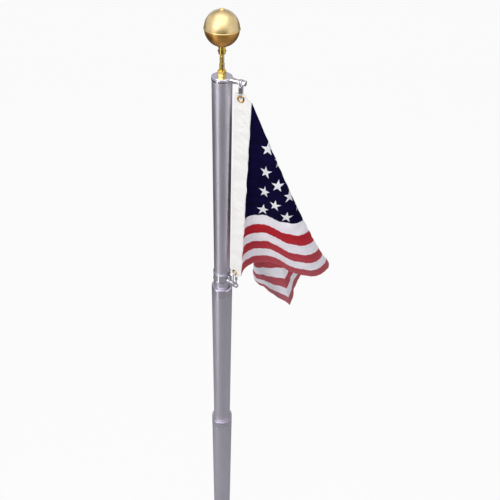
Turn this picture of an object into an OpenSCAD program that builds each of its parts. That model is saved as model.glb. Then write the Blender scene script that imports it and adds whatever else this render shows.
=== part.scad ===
// Telescoping aluminium flagpole: three tubes, a ball on a spindle, two swivel arms,
// two quick links and a small flag on a canvas heading.
// Millimetres, +Z up, origin on the pole's axis at ground level.

/* [Pole sections] */
// Overall length of each section, with its collar or cap
section_length = 1524; // [1300:10:1800]
// Outside diameter of the top section
section_1_d = 47.6; // [44:0.1:50]
// Outside diameter of the middle section
section_2_d = 63.5; // [59:0.1:66]
// Outside diameter of the bottom section
section_3_d = 79.4; // [75:0.1:84]
// Wall of every section
tube_wall = 2.1; // [1.6:0.1:3]
// Height of the middle section's collar top above the bottom section's
section_2_rise = 772; // [400:1:900]

/* [Collars and base] */
// Height of the middle section's collar
collar_2_h = 37; // [25:1:50]
// Height of the bottom section's collar
collar_3_h = 46; // [30:1:60]
// Length of the spigot under each collar, inside its tube
spigot_h = 30; // [15:1:50]
// Thickness of the plug in the foot of the pole
base_plug_h = 25; // [12:1:50]
// Length of the nylon guide at the foot of each moving section
guide_h = 60; // [30:1:90]

/* [Cap and ball] */
// Height of the cap's rim above the swivel ring
cap_rim_h = 3.2; // [2.5:0.1:6]
// Diameter of the cap's stem, which the upper ring turns on
cap_stem_d = 34; // [28:0.5:38]
// Diameter of the ball
ball_d = 76.2; // [60:0.1:90]
// Wall of the spun ball
ball_wall = 1.5; // [1:0.1:3]
// Height of the ball's centre above the cap's top
ball_rise = 105; // [95:1:130]
// Diameter of the spindle
spindle_d = 10; // [8:0.5:12]
// Width of the hex nut across its flats
nut_af = 18; // [15:0.5:22]
// Height of the hex nut
nut_h = 13; // [8:0.5:16]
// Diameter of the socket under the ball
socket_d = 16; // [15:0.5:20]
// Height of the socket under the ball
socket_h = 19; // [14:0.5:24]

/* [Swivels and links] */
// Height of the upper swivel ring
upper_ring_h = 6; // [5:0.5:10]
// Height of the lower swivel ring
lower_ring_h = 32; // [24:1:40]
// Wall of the lower swivel ring
lower_ring_wall = 2.6; // [2:0.1:4]
// Height of the lower arm's axis above the foot of its ring
lower_arm_rise = 10; // [8:0.5:16]
// Gap between the lower ring and the middle section's collar
lower_ring_gap = 30; // [12:1:40]
// Distance of the upper link from the pole's axis
upper_reach = 48; // [46:0.5:60]
// Distance of the lower link from the pole's axis
lower_reach = 54; // [50:0.5:66]
// Bearing of the upper arm, turned from +X towards -Y
upper_bearing = 26; // [0:1:60]
// Bearing of the lower arm, turned from +X towards -Y
lower_bearing = 46; // [0:1:60]
// Diameter of each arm at its root
arm_root_d = 14; // [11:0.5:15]
// Wire of the quick links
link_wire_d = 4; // [3:0.1:4.5]
// Outside length of the upper quick link
upper_link_length = 46; // [40:0.5:60]
// Outside length of the lower quick link
lower_link_length = 59; // [40:0.5:70]
// Outside width of both quick links
link_width = 17; // [15.5:0.1:20]

/* [Flag] */
// Height of the flag's cloth along its heading, laid flat
flag_hoist = 580; // [480:1:700]
// How much shorter than the cloth the heading hangs
flag_slack = 12; // [0:1:30]
// Length of the flag's cloth from its heading to the fly hem
flag_fly = 828; // [650:1:1000]
// Width of the canvas heading
heading_w = 42; // [34:0.5:46]
// Width of the heading on the pole's side of its grommets' centres
heading_inner_w = 17; // [14:0.5:20]
// Corners of the heading that slope away on the flag's side
heading_corner = 15; // [2:0.5:20]
// Thickness of the canvas heading
heading_t = 2.4; // [1.6:0.1:3]
// Thickness of the flag's cloth, hems and seams
cloth_t = 1; // [0.6:0.1:1.5]
// Distance of each grommet from its end of the heading
grommet_inset = 13; // [11:0.5:20]
// Outside diameter of a grommet
grommet_d = 19; // [16:0.5:21]
// Hole through a grommet
grommet_hole_d = 9.6; // [8.6:0.1:10.5]

/* [Hidden] */
$fn = 96;
fit_gap = 0.3;
seam_gap = 0.2;
grommet_gap = 0.25;

// Lower swivel: a band round the top section, above the middle section's collar
z3_top = section_length;
z2_top = z3_top + section_2_rise;
z2_foot = z2_top - section_length;
lower_ring_z = z2_top + lower_ring_gap;
lower_ring_ri = section_1_d / 2 + fit_gap;
lower_ring_ro = lower_ring_ri + lower_ring_wall;
lower_arm_z = lower_ring_z + lower_arm_rise;

// Spool at the end of each arm
neck_d = 6.5;
neck_w = link_wire_d + 2;
flange_w = 2.5;
flange_d = 13;
knob_w = 8;
arm_tip_d = 10;

// Quick links: from the middle of the arm's neck to the middle of the grommet
link_bend_r = (link_width - link_wire_d) / 2;
link_top_rise = neck_d / 2 + fit_gap + link_wire_d / 2;
function link_drop(length) =
    length - 1.5 * link_wire_d - link_top_rise - fit_gap + grommet_hole_d / 2;

// The flag's height sets how far the top section is drawn out
grommet_span = flag_hoist - flag_slack - 2 * grommet_inset;
lower_grommet_z = lower_arm_z + link_drop(lower_link_length);
upper_grommet_z = lower_grommet_z + grommet_span;
upper_arm_z = upper_grommet_z + link_drop(upper_link_length);

// Upper swivel: ring on the cap's stem, between the cap's rim and the tube's end
upper_ring_z = upper_arm_z - upper_ring_h / 2;
tube_1_top = upper_ring_z - fit_gap;
z1_top = upper_ring_z + upper_ring_h + fit_gap + cap_rim_h;
z1_foot = z1_top - section_length;
cap_plug_h = 28;
arm_clear_r = section_1_d / 2 + 0.4;
upper_ring_ro = arm_clear_r + 0.3;

function unit(v) = v / norm(v);
// Direction away from the pole's axis at a bearing
function outward(bearing) = [cos(bearing), -sin(bearing), 0];

// Heading: a ruled ribbon whose long edges are straight, with its flag-side corners sloped.
// s is the distance from the grommets' line, away from the pole, and share runs from top to foot.
upper_grommet_at = upper_reach * outward(upper_bearing) + [0, 0, upper_grommet_z];
lower_grommet_at = lower_reach * outward(lower_bearing) + [0, 0, lower_grommet_z];
heading_outer_w = heading_w - heading_inner_w;
function heading_end(s) = grommet_inset - max(0, s - heading_outer_w + heading_corner);
function heading_top(s) = upper_grommet_at + outward(upper_bearing) * s + [0, 0, heading_end(s)];
function heading_foot(s) = lower_grommet_at + outward(lower_bearing) * s - [0, 0, heading_end(s)];
function heading_at(s, share) = heading_top(s) * (1 - share) + heading_foot(s) * share;
function heading_across(share) = unit(heading_at(1, share) - heading_at(-1, share));
function heading_normal(share) = unit(cross(heading_foot(0) - heading_top(0), heading_across(share)));
heading_end_share = grommet_inset / (grommet_span + 2 * grommet_inset);

// The cloth starts just beyond the heading's edge and hangs from the heading's upper corner
cloth_start = heading_outer_w + cloth_t / 2 + 0.8;
cloth_edge_inset = heading_outer_w - cloth_start;
flag_corner = heading_top(heading_outer_w) - outward(upper_bearing) * cloth_edge_inset;
flag_foot = heading_foot(heading_outer_w) - outward(lower_bearing) * cloth_edge_inset;
flag_edge = norm(flag_foot - flag_corner);

// Stripes and canton
stripe_h = flag_hoist / 13;
canton_h = stripe_h * 7;
canton_w = flag_hoist * 0.76;

// The cloth hangs in folds that run out from its top corner, along rays.
// Each pair of fold_turns is an angle in the flat cloth round that corner, from the hoist
// towards the top edge, and the way the cloth is heading there, turned from +X towards +Y.
fold_turns = [[0, 90], [3, 0], [6, -13], [9, -15], [12, -47], [18, -46], [21, -25], [24, -25],
    [27, 17], [30, 54], [33, 160], [36, 165], [40, 174], [45, 99], [50, 169], [55, 165], [60, 21],
    [65, 66], [70, 76], [76, 88], [90, 90]];
fold_step = 0.5;
fold_count = 90 / fold_step;
function ray_step(ray, turn) =
    let (side = unit(cross([0, 1, 0], -ray)), back = cross(-ray, side))
    unit(ray + (side * cos(turn) + back * sin(turn)) * fold_step * PI / 180);
rays = [for (i = 0, ray = unit(flag_foot - flag_corner); i <= fold_count;
    ray = ray_step(ray, lookup((i + 0.5) * fold_step, fold_turns)), i = i + 1) ray];

// Past curl_start along a ray the cloth curls back, towards +Y. Each pair is an angle round
// the corner and the curl there, in degrees for each metre.
curl_start = 130;
curls = [[0, 0], [5, 30], [10, 43], [15, 55], [30, 69], [36, 84], [42, 54], [48, 24], [54, 40],
    [60, 46], [90, 47]];
// By the heading the cloth is bunched below the canton, and the bunching ends at slack_angle
canton_share = 0.63;
slack_angle = 30;
function hung_drop(drop) =
    lookup(drop, [[0, 0], [canton_h, canton_share * flag_edge], [flag_hoist, flag_edge]]);
function hung_length(angle, reach) =
    let (drop = reach * cos(angle), ease = min(1, angle / slack_angle))
    ease == 1 ? reach : reach * (ease + (1 - ease) * hung_drop(drop) / drop);
function ray_at(angle) =
    let (i = min(floor(angle / fold_step), fold_count - 1), share = angle / fold_step - i)
    unit(rays[i] * (1 - share) + rays[i + 1] * share);
// Point of the hung cloth at an angle and a distance from the corner, both in the flat cloth
function drape(angle, reach) =
    let (ray = ray_at(angle), length = hung_length(angle, reach),
        curl = lookup(angle, curls) / 1000, bend = curl * (length - curl_start),
        back = unit([0, 1, 0] - ray * ray[1]), bend_r = 180 / PI / max(curl, 0.001))
    flag_corner + (bend <= 0 ? ray * length
        : ray * (curl_start + sin(bend) * bend_r) + back * (1 - cos(bend)) * bend_r);
function drape_normal(angle, reach) = unit(cross(
    drape(min(angle + fold_step, 90), reach) - drape(max(angle - fold_step, 0), reach),
    drape(angle, reach + 1) - drape(angle, reach - 1)));

pole_grey = [0.66, 0.65, 0.7];
gold = [0.8, 0.62, 0.28];
bright_steel = [0.8, 0.8, 0.83];
canvas_white = [0.95, 0.94, 0.92];

// Round tube from z0 up to z1
module pipe(outer_d, inner_d, z0, z1) {
    translate([0, 0, z0])
        difference() {
            cylinder(d = outer_d, h = z1 - z0);
            translate([0, 0, -1]) cylinder(d = inner_d, h = z1 - z0 + 2);
        }
}

// Collar flush with its tube: bevelled top, thin seam line at its foot, spigot in the tube
module collar(outer_d, inner_d, height, top_z) {
    r_out = outer_d / 2;
    r_in = inner_d / 2 + fit_gap;
    r_spigot = r_out - tube_wall - fit_gap;
    bevel_w = 1.6;
    bevel_h = 3.5;
    groove = 0.6;
    translate([0, 0, top_z])
        rotate_extrude()
            polygon([[r_in + 0.8, 0], [r_out - bevel_w, 0], [r_out, -bevel_h], [r_out, -height + groove],
                [r_out - groove, -height + fit_gap], [r_spigot, -height + fit_gap],
                [r_spigot, -height - spigot_h], [r_in, -height - spigot_h], [r_in, -0.8]]);
}

// Nylon guide fixed round the foot of a moving section
module guide(inner_d, bore_d, foot_z) {
    pipe(bore_d - 2 * fit_gap, inner_d + 0.2, foot_z, foot_z + guide_h);
}

module section_3_tube() {
    color(pole_grey) pipe(section_3_d, section_3_d - 2 * tube_wall, 0, z3_top - collar_3_h);
}
module section_3_collar() {
    color(pole_grey) collar(section_3_d, section_2_d, collar_3_h, z3_top);
}
module base_plug() {
    color("dimgray") cylinder(d = section_3_d - 2 * tube_wall - 2 * fit_gap, h = base_plug_h);
}
module section_2_tube() {
    color(pole_grey)
        pipe(section_2_d, section_2_d - 2 * tube_wall, z2_foot, z2_top - collar_2_h);
}
module section_2_collar() {
    color(pole_grey) collar(section_2_d, section_1_d, collar_2_h, z2_top);
}
module section_2_guide() {
    color("ivory") guide(section_2_d, section_3_d - 2 * tube_wall, z2_foot);
}
module section_1_tube() {
    color(pole_grey) pipe(section_1_d, section_1_d - 2 * tube_wall, z1_foot, tube_1_top);
}
module section_1_guide() {
    color("ivory") guide(section_1_d, section_2_d - 2 * tube_wall, z1_foot);
}

// Cap: bevelled disc, stem for the upper ring, plug in the tube and a hole for the spindle
module pole_cap() {
    r = section_1_d / 2;
    bevel = 2.2;
    r_plug = r - tube_wall - fit_gap;
    color(pole_grey)
        translate([0, 0, z1_top])
            rotate_extrude()
                polygon([[spindle_d / 2 + 0.1, 0], [r - bevel, 0], [r, -bevel * 0.7],
                    [r, -cap_rim_h], [cap_stem_d / 2, -cap_rim_h],
                    [cap_stem_d / 2, tube_1_top - z1_top], [r_plug, tube_1_top - z1_top],
                    [r_plug, tube_1_top - cap_plug_h - z1_top],
                    [spindle_d / 2 + 0.1, tube_1_top - cap_plug_h - z1_top]]);
}

module hex_nut() {
    chamfer = 1.4;
    corner_r = nut_af / 2 / cos(30);
    color(gold)
        translate([0, 0, z1_top])
            difference() {
                intersection() {
                    rotate([0, 0, 8]) cylinder(r = corner_r, h = nut_h, $fn = 6);
                    rotate_extrude()
                        polygon([[0, 0], [nut_af / 2 + 1.2, 0], [corner_r + 0.1, 0.8],
                            [corner_r + 0.1, nut_h - chamfer], [nut_af / 2, nut_h], [0, nut_h]]);
                }
                translate([0, 0, -1]) cylinder(d = spindle_d + 0.2, h = nut_h + 2);
            }
}

// Spindle: foot in the cap, shoulder above the nut, tip in the ball's socket
module spindle() {
    foot = cap_plug_h + 6;
    shoulder_z = 29;
    tip_z = ball_rise - ball_d / 2 - 6;
    color(gold)
        translate([0, 0, z1_top]) {
            translate([0, 0, -foot]) cylinder(d = spindle_d, h = foot + tip_z);
            translate([0, 0, nut_h]) cylinder(d = spindle_d + 1.5, h = shoulder_z - nut_h);
        }
}

// Socket under the ball, bored for the spindle's tip, with a cup that seats the ball
module ball_socket() {
    top = ball_rise - ball_d / 2 + 0.6;
    foot = top - socket_h;
    tip_z = ball_rise - ball_d / 2 - 6;
    color(gold)
        translate([0, 0, z1_top])
            difference() {
                rotate_extrude()
                    polygon([[0, foot], [socket_d / 2 - 2, foot], [socket_d / 2, foot + 2.5],
                        [socket_d / 2, top], [0, top]]);
                translate([0, 0, foot - 1]) cylinder(d = spindle_d + 0.2, h = tip_z - foot + 1.3);
                translate([0, 0, ball_rise]) sphere(d = ball_d + 2 * fit_gap);
                for (side = [-1, 1])
                    translate([0, 0, foot + 8]) rotate([0, 90 * side, 0])
                        cylinder(d = 3.4, h = socket_d, $fn = 24);
            }
}
module set_screws() {
    foot = ball_rise - ball_d / 2 + 0.6 - socket_h;
    proud = 1.5;
    color("dimgray")
        translate([0, 0, z1_top + foot + 8])
            for (side = [-1, 1])
                rotate([0, 90 * side, 0])
                    translate([0, 0, spindle_d / 2 + fit_gap])
                        cylinder(d = 3, h = socket_d / 2 - spindle_d / 2 - fit_gap + proud, $fn = 24);
}

// Spun halves of the ball, with a rolled bead where they meet
module ball_half(up) {
    r = ball_d / 2;
    color(gold)
        translate([0, 0, z1_top + ball_rise])
            mirror([0, 0, up ? 0 : 1])
                difference() {
                    sphere(r = r);
                    sphere(r = r - ball_wall);
                    translate([0, 0, 0.15 - 2 * r]) cylinder(r = 2 * r, h = 2 * r);
                }
}
module ball_lower_half() {
    ball_half(false);
}
module ball_upper_half() {
    ball_half(true);
}
module ball_seam() {
    color(gold)
        translate([0, 0, z1_top + ball_rise])
            rotate_extrude()
                translate([ball_d / 2 + 0.9, 0]) circle(r = 0.7, $fn = 24);
}
module ball_button() {
    button_r = 5.5;
    button_h = 1.8;
    r = ball_d / 2;
    seat = sqrt(r * r - button_r * button_r);
    color(gold)
        translate([0, 0, z1_top + ball_rise])
            difference() {
                rotate_extrude()
                    polygon([[0, seat - 1], [button_r, seat - 1], [button_r, r + button_h - 0.8],
                        [button_r - 0.8, r + button_h], [0, r + button_h]]);
                sphere(r = r + 0.2);
            }
}

// Arm and spool, lying along +X from the pole's axis
module arm(root_r, reach) {
    neck_x = reach - neck_w / 2;
    flange_x = neck_x - flange_w;
    knob_x = reach + neck_w / 2;
    rotate([0, 90, 0]) {
        difference() {
            translate([0, 0, root_r - 4])
                cylinder(d1 = arm_root_d + 1, d2 = arm_tip_d, h = flange_x - root_r + 4);
            rotate([0, -90, 0])
                translate([0, 0, -arm_root_d]) cylinder(r = root_r, h = 2 * arm_root_d);
        }
        translate([0, 0, flange_x]) cylinder(d = flange_d, h = flange_w);
        translate([0, 0, neck_x]) cylinder(d = neck_d, h = neck_w);
        translate([0, 0, knob_x])
            rotate_extrude()
                polygon([[0, 0], [flange_d / 2 - 1, 0], [flange_d / 2, 1],
                    [flange_d / 2, knob_w - 2.5], [flange_d / 2 - 2.5, knob_w], [0, knob_w]]);
    }
}

module upper_swivel_arm() {
    color(bright_steel)
        union() {
            pipe(2 * upper_ring_ro, cap_stem_d + 2 * fit_gap, upper_ring_z,
                upper_ring_z + upper_ring_h);
            translate([0, 0, upper_arm_z]) rotate([0, 0, -upper_bearing])
                arm(arm_clear_r, upper_reach);
        }
}
module lower_swivel_arm() {
    rim = 0.6;
    color(bright_steel)
        union() {
            translate([0, 0, lower_ring_z])
                rotate_extrude()
                    polygon([[lower_ring_ri + rim, 0], [lower_ring_ro - rim, 0], [lower_ring_ro, rim],
                        [lower_ring_ro, lower_ring_h - rim], [lower_ring_ro - rim, lower_ring_h],
                        [lower_ring_ri + rim, lower_ring_h], [lower_ring_ri, lower_ring_h - rim],
                        [lower_ring_ri, rim]]);
            translate([0, 0, lower_arm_z]) rotate([0, 0, -lower_bearing])
                arm(lower_ring_ro - 0.5, lower_reach);
        }
}

// Quick link in the YZ plane: its upper bend's centre is at the origin
module link_wire(length) {
    link_straight = length - link_width;
    for (side = [-1, 1])
        translate([0, side * link_bend_r, -link_straight])
            cylinder(d = link_wire_d, h = link_straight, $fn = 32);
    for (up = [0, 1])
        translate([0, 0, (up - 1) * link_straight])
            rotate([0, 0, 90]) rotate([90, 0, 0]) rotate([0, 0, up * 180 - 180])
                rotate_extrude(angle = 180)
                    translate([link_bend_r, 0]) circle(d = link_wire_d, $fn = 32);
}
module link_sleeve(length) {
    sleeve_h = 15;
    link_straight = length - link_width;
    translate([0, -link_bend_r, -link_straight / 2 - sleeve_h / 2])
        difference() {
            cylinder(d = link_wire_d + 3.4, h = sleeve_h, $fn = 6);
            translate([0, 0, -1]) cylinder(d = link_wire_d + 0.2, h = sleeve_h + 2, $fn = 32);
        }
}
// Placed with its top bend over the upper arm's neck
module on_upper_neck() {
    rotate([0, 0, -upper_bearing])
        translate([upper_reach, 0, upper_arm_z + link_top_rise - link_bend_r]) children();
}
// Placed upside down with its bend under the lower arm's neck
module on_lower_neck() {
    rotate([0, 0, -lower_bearing])
        translate([lower_reach, 0, lower_arm_z - link_top_rise + link_bend_r])
            rotate([180, 0, 0]) children();
}
module upper_link() {
    color(bright_steel) on_upper_neck() link_wire(upper_link_length);
}
module upper_link_sleeve() {
    color(bright_steel) on_upper_neck() link_sleeve(upper_link_length);
}
module lower_link() {
    color(bright_steel) on_lower_neck() link_wire(lower_link_length);
}
module lower_link_sleeve() {
    color(bright_steel) on_lower_neck() link_sleeve(lower_link_length);
}

// Places children at the grommet at one share of the heading: Z is the hole's axis
module at_grommet(share) {
    across = heading_across(share);
    normal = heading_normal(share);
    translate(heading_at(0, share))
        rotate([0, 0, atan2(across[1], across[0])])
            rotate([90 - asin(normal[2]), 0, 0])
                children();
}
module grommet() {
    lip = 1;
    r_hole = grommet_hole_d / 2;
    half_t = heading_t / 2 + grommet_gap;
    rotate_extrude()
        polygon([[r_hole, -half_t], [r_hole + 0.5, -half_t - lip],
            [grommet_d / 2 - 1, -half_t - lip], [grommet_d / 2, -half_t],
            [r_hole + 0.8, -half_t], [r_hole + 0.8, half_t], [grommet_d / 2, half_t],
            [grommet_d / 2 - 1, half_t + lip], [r_hole + 0.5, half_t + lip], [r_hole, half_t]]);
}
module upper_grommet() {
    color(gold) at_grommet(heading_end_share) grommet();
}
module lower_grommet() {
    color(gold) at_grommet(1 - heading_end_share) grommet();
}

// Faces of a closed strip: each ring runs along one side of the sheet and back along the other
function strip_faces(rings, n) = [
    for (j = [0:n / 2 - 2]) [n - 1 - j, n - 2 - j, j + 1, j],
    for (j = [0:n / 2 - 2]) let (e = n * (rings - 1)) [e + j, e + j + 1, e + n - 2 - j, e + n - 1 - j],
    for (i = [0:rings - 2], k = [0:n - 1])
        let (a = n * i + k, b = n * i + (k + 1) % n) each [[a, b, b + n], [a, b + n, a + n]]
];

module flag_heading() {
    rings = 25;
    columns = [-heading_inner_w, heading_outer_w - heading_corner, heading_outer_w];
    points = [for (i = [0:rings - 1])
        let (share = i / (rings - 1), side = heading_normal(share) * heading_t / 2)
        each concat([for (k = [0:2]) heading_at(columns[k], share) - side],
            [for (k = [2:-1:0]) heading_at(columns[k], share) + side])];
    color(canvas_white)
        difference() {
            polyhedron(points, strip_faces(rings, 6), convexity = 4);
            for (share = [heading_end_share, 1 - heading_end_share])
                at_grommet(share)
                    cylinder(r = grommet_hole_d / 2 + 0.8 + grommet_gap, h = 4 * heading_t, center = true);
        }
}

// Piece of the cloth between s0 and s1 along the fly and t0 and t1 down the hoist. It is made
// of rays a degree apart, with one through each corner, and starts and ends a little inside.
module cloth(s0, s1, t0, t1, segments) {
    tip = 0.03;
    min_step = 0.2;
    start = s0 == 0 ? 0 : atan2(s0, t1) + tip;
    end = atan2(s1, t0) - tip;
    corner_angles = [atan2(s0, t0), atan2(s1, t1)];
    function stretch(from, to) = to - from < min_step ? [] : [from,
        for (a = [floor(from) + 1:1:ceil(to) - 1]) if (min(a - from, to - a) > min_step) a];
    angles = concat(stretch(start, min(corner_angles)), stretch(min(corner_angles), max(corner_angles)),
        stretch(max(corner_angles), end), [end]);
    function inner(a) = max(t0 / max(cos(a), 0.001), s0 / max(sin(a), 0.001), 5);
    function outer(a) = min(t1 / max(cos(a), 0.001), s1 / max(sin(a), 0.001));
    function half_t(reach) = min(cloth_t, 0.1 + reach / 250) / 2;
    points = [for (a = angles)
        let (near = inner(a), far = outer(a),
            reaches = [for (k = [0:segments]) near + (far - near) * k / segments],
            middles = [for (reach = reaches) drape(a, reach)],
            sides = [for (reach = reaches) drape_normal(a, reach) * half_t(reach)])
        each concat([for (k = [0:segments]) middles[k] - sides[k]],
            [for (k = [segments:-1:0]) middles[k] + sides[k]])];
    polyhedron(points, strip_faces(len(angles), 2 * segments + 2), convexity = 8);
}
module stripe(n) {
    gap = seam_gap / 2;
    beside_canton = n < 7;
    cloth(beside_canton ? canton_w + gap : 0, flag_fly, n * stripe_h + gap, (n + 1) * stripe_h - gap,
        beside_canton ? 3 : 1);
}
module flag_canton() {
    gap = seam_gap / 2;
    color("midnightblue") cloth(0, canton_w - gap, 0, canton_h - gap, 5);
}
module flag_red_stripes() {
    color("firebrick") for (n = [0:2:12]) stripe(n);
}
module flag_white_stripes() {
    color(canvas_white) for (n = [1:2:11]) stripe(n);
}

section_3_tube();
section_3_collar();
base_plug();
section_2_tube();
section_2_collar();
section_2_guide();
section_1_tube();
section_1_guide();
pole_cap();
hex_nut();
spindle();
ball_socket();
set_screws();
ball_lower_half();
ball_upper_half();
ball_seam();
ball_button();
upper_swivel_arm();
upper_link();
upper_link_sleeve();
lower_swivel_arm();
lower_link();
lower_link_sleeve();
flag_heading();
upper_grommet();
lower_grommet();
flag_canton();
flag_red_stripes();
flag_white_stripes();
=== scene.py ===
"""Looks of the telescoping flagpole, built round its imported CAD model. Metres, +Z up."""
import math
import bpy
import numpy as np
from mathutils import Matrix, Vector

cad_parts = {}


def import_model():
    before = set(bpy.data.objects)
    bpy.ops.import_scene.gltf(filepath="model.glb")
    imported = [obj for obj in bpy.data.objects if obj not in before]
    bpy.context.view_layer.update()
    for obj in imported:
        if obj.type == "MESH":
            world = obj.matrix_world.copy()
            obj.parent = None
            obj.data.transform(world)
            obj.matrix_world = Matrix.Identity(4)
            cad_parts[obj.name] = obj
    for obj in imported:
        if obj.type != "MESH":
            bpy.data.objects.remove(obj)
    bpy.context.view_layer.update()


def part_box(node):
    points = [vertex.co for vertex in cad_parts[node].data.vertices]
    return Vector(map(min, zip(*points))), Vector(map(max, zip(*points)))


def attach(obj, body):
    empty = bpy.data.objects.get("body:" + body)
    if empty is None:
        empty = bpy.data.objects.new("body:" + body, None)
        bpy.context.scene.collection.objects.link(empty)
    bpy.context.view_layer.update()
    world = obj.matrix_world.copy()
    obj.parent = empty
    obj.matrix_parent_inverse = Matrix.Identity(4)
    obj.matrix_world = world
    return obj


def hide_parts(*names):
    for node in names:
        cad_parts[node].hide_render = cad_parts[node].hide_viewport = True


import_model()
scene = bpy.context.scene
MM = 0.001

# ---- sizes
cap_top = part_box("pole_cap")[1].z
section_1_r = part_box("section_1_tube")[1].x
section_2_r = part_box("section_2_tube")[1].x
tube_wall = 2.1 * MM
fit_gap = 0.3 * MM
slip = 0.1 * MM
upper_arm_bearing, lower_arm_bearing = 26, 46
upper_reach, lower_reach = 48 * MM, 54 * MM
link_wire_r = 2 * MM
link_bend_r = 6.5 * MM
link_rise = 5.55 * MM
upper_link_length, lower_link_length = 46 * MM, 59 * MM
grommet_hole_r = 4.8 * MM

flag_hoist, flag_fly = 580 * MM, 828 * MM
stripe_h = flag_hoist / 13
canton_h, canton_w = stripe_h * 7, flag_hoist * 0.76
seam_gap = 0.2 * MM
heading_inner_w, heading_outer_w = 17 * MM, 25 * MM
heading_corner = 15 * MM
grommet_inset = 13 * MM
cloth_start = heading_outer_w + 1.3 * MM

# ---- plain mesh tools


def unit(v):
    return v / np.linalg.norm(v, axis=-1, keepdims=True)


def join(shapes):
    """One shape from several; a shape is (points, faces)."""
    points, faces, start = [], [], 0
    for p, f in shapes:
        points.append(np.asarray(p, float))
        faces += [[i + start for i in face] for face in f]
        start += len(p)
    return np.concatenate(points), faces


def placed(shape, matrix):
    """The shape moved by a 4 by 4 matrix."""
    m = np.array(matrix)
    return shape[0] @ m[:3, :3].T + m[:3, 3], shape[1]


def raised(shape, z):
    return shape[0] + np.array([0, 0, z]), shape[1]


def full_turn(count):
    """Evenly spaced angles once round, in radians."""
    return np.arange(count) * 2 * math.pi / count


def skin(rings, ends=None, loop=False):
    """Closed surface over rings of points, an array of rows by points by 3.

    The ends are the two middle points that close it, or else the middles of its end rings."""
    rows, n = rings.shape[:2]
    points = rings.reshape(-1, 3)
    faces = []
    for i in range(rows if loop else rows - 1):
        a, b = i * n, (i + 1) % rows * n
        faces += [[a + k, a + (k + 1) % n, b + (k + 1) % n, b + k] for k in range(n)]
    if not loop:
        ends = (rings[:1].mean(1), rings[-1:].mean(1)) if ends is None else (ends,)
        points = np.concatenate([points, *ends])
        foot, top, last = rows * n, rows * n + 1, (rows - 1) * n
        faces += [[foot, (k + 1) % n, k] for k in range(n)]
        faces += [[top, last + k, last + (k + 1) % n] for k in range(n)]
    return points, faces


def rounded(corners, radius, steps=3):
    """Closed outline of (radius, height) with rounded corners and a support point beside each."""
    outline = []
    n = len(corners)
    for i in range(n):
        at = np.array(corners[i][:2], float)
        r = corners[i][2] if len(corners[i]) > 2 else radius
        back = np.array(corners[i - 1][:2]) - at
        on = np.array(corners[(i + 1) % n][:2]) - at
        lengths = np.linalg.norm(back), np.linalg.norm(on)
        u, v = back / lengths[0], on / lengths[1]
        half = math.acos(max(-1, min(1, u @ v))) / 2
        if at[0] < 1e-7 or r == 0 or half > 1.5:
            outline.append(at)
            continue
        reach = min(r / math.tan(half), 0.33 * min(lengths))
        outline.append(at + u * reach * 1.4)
        for k in range(steps + 1):
            t = k / steps
            outline.append(at + u * reach * (1 - t) ** 2 + v * reach * t ** 2)
        outline.append(at + v * reach * 1.4)
    return outline


def lathe(outline, segments=128):
    """The closed outline turned round the Z axis; points on the axis become poles."""
    points, starts, single = [], [], []
    turn = full_turn(segments)
    circle = np.stack([np.cos(turn), np.sin(turn), np.zeros(segments)], 1)
    for r, z in outline:
        starts.append(len(points))
        single.append(r < 1e-7)
        points += [[0, 0, z]] if r < 1e-7 else list(circle * r + [0, 0, z])
    faces = []
    count = len(outline)
    for i in range(count):
        j = (i + 1) % count
        for k in range(segments):
            m = (k + 1) % segments
            a, b = starts[i], starts[j]
            if single[i] and single[j]:
                break
            if single[i]:
                faces.append([a, b + m, b + k])
            elif single[j]:
                faces.append([a + k, a + m, b])
            else:
                faces.append([a + k, a + m, b + m, b + k])
    return np.array(points), faces


def tube_shape(outer_r, inner_r, z0, z1, radius=0.4 * MM, segments=128):
    return lathe(rounded([(inner_r, z0), (outer_r, z0), (outer_r, z1), (inner_r, z1)], radius),
                 segments)


def box_shape(x, y, z, bevel):
    """Box between the pairs x, y and z, with its edges cut at 45 degrees."""
    points, b = [], bevel
    for zz, cut in ((z[0], b), (z[0] + b, 0), (z[1] - b, 0), (z[1], b)):
        xs, ys = (x[0] + cut, x[1] - cut), (y[0] + cut, y[1] - cut)
        points += [[xs[0] + b, ys[0], zz], [xs[1] - b, ys[0], zz], [xs[1], ys[0] + b, zz],
                   [xs[1], ys[1] - b, zz], [xs[1] - b, ys[1], zz], [xs[0] + b, ys[1], zz],
                   [xs[0], ys[1] - b, zz], [xs[0], ys[0] + b, zz]]
    return skin(np.array(points, float).reshape(4, 8, 3))


def hex_shape(across_flats, z0, z1, bore_r, chamfer=0.16, segments=192):
    """Hexagon bar with turned ends and a bore."""
    turn = full_turn(segments)
    flat = across_flats / 2 / np.cos((turn + math.pi / 6) % (math.pi / 3) - math.pi / 6)
    corner = across_flats / 2 / math.cos(math.pi / 6)
    depth = corner * chamfer
    height = z1 - z0
    rows = []
    for z in np.linspace(0, 1.6, 14):
        rows.append((depth * z, across_flats / 2 + 1.6 * (corner - across_flats / 2) * z - 0.1 * MM))
    rows = rows + [(height - z, r) for z, r in reversed(rows)]
    bevel = 0.5 * MM
    rows += [(height, bore_r + bevel), (height - bevel, bore_r), (bevel, bore_r), (0, bore_r + bevel)]
    rings = []
    for z, limit in rows:
        r = np.minimum(flat, limit)
        rings.append(np.stack([r * np.cos(turn), r * np.sin(turn), np.full(segments, z0 + z)], 1))
    return skin(np.array(rings), loop=True)


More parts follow.
